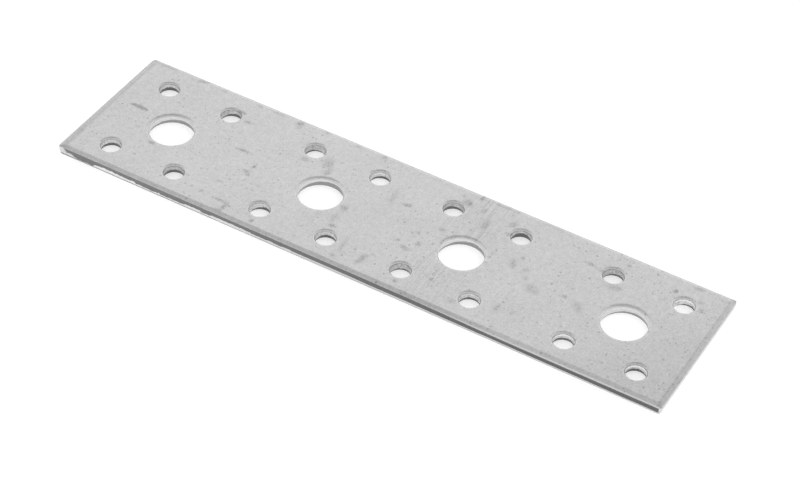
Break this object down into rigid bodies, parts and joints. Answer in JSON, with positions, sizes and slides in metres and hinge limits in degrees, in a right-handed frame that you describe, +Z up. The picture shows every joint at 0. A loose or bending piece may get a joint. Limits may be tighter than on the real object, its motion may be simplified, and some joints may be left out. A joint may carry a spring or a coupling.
{
  "type": "mending plate",
  "caption": "Flat galvanised steel mending plate with a row of large bolt holes, each inside a rectangle of small nail holes, for joining timbers end to end.",
  "frame": {"origin": "middle of the underside", "axes": "+X along the plate, +Y across it, +Z up out of the top face"},
  "size_m": [0.16, 0.04, 0.0025],
  "materials": {
    "galvanised_steel": "pre-galvanised sheet, dull light grey zinc, bare sheared and punched edges"
  },
  "bodies": {
    "root": {"plate": "galvanised_steel"}
  },
  "joints": []
}
